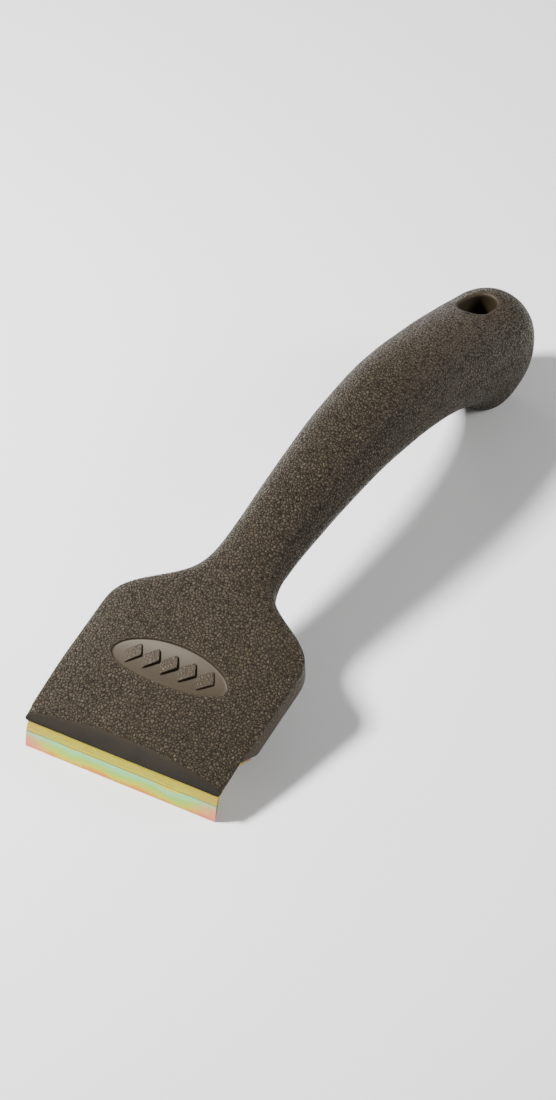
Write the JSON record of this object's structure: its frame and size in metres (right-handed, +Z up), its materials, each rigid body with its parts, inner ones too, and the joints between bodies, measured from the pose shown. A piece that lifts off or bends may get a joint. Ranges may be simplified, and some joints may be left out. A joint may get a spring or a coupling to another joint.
{
  "type": "floor scraper",
  "caption": "Hand-held pull scraper: arched moulded handle with a hang hole, flat head and a reversible C-section steel blade clamped underneath.",
  "frame": {"origin": "middle of the bounding box in X and Y, at the height of the surface that the scraper lies on; the front cutting edge and the underside of the pommel touch that surface", "axes": "+X across the blade, +Y from the cutting edge towards the pommel, +Z up"},
  "size_m": [0.0664, 0.2191, 0.0481],
  "materials": {
    "upper_plastic": "moulded polypropylene with a leather grain, satin",
    "lower_plastic": "moulded polypropylene with a leather grain, satin",
    "brass": "turned",
    "chromated_steel": "yellow chromate over zinc, iridescent, ground edges",
    "zinc_plate": "zinc plated",
    "zinc_washer": "zinc plated",
    "zinc_screw": "zinc plated"
  },
  "bodies": {
    "handle": {"upper_shell": "upper_plastic", "lower_shell": "lower_plastic", "threaded_insert": "brass"},
    "clamp": {"blade": "chromated_steel", "clamp_plate": "zinc_plate", "lock_washer": "zinc_washer"},
    "screw": {"clamp_screw": "zinc_screw"}
  },
  "joints": [
    {"name": "clamp_drop", "type": "slide", "parent": "handle", "child": "clamp", "axis": [0, 0.3746, -0.9272], "range_m": [0, 0.0021]},
    {"name": "screw_turn", "type": "hinge", "parent": "clamp", "child": "screw", "pos_m": [0, -0.10222, 0.01017], "axis": [0, 0.3746, -0.9272], "range_deg": [0, 1080]}
  ],
  "couplings": [
    {"joint": "screw_turn", "follows": "clamp_drop", "rad_per_m": 8976}
  ]
}
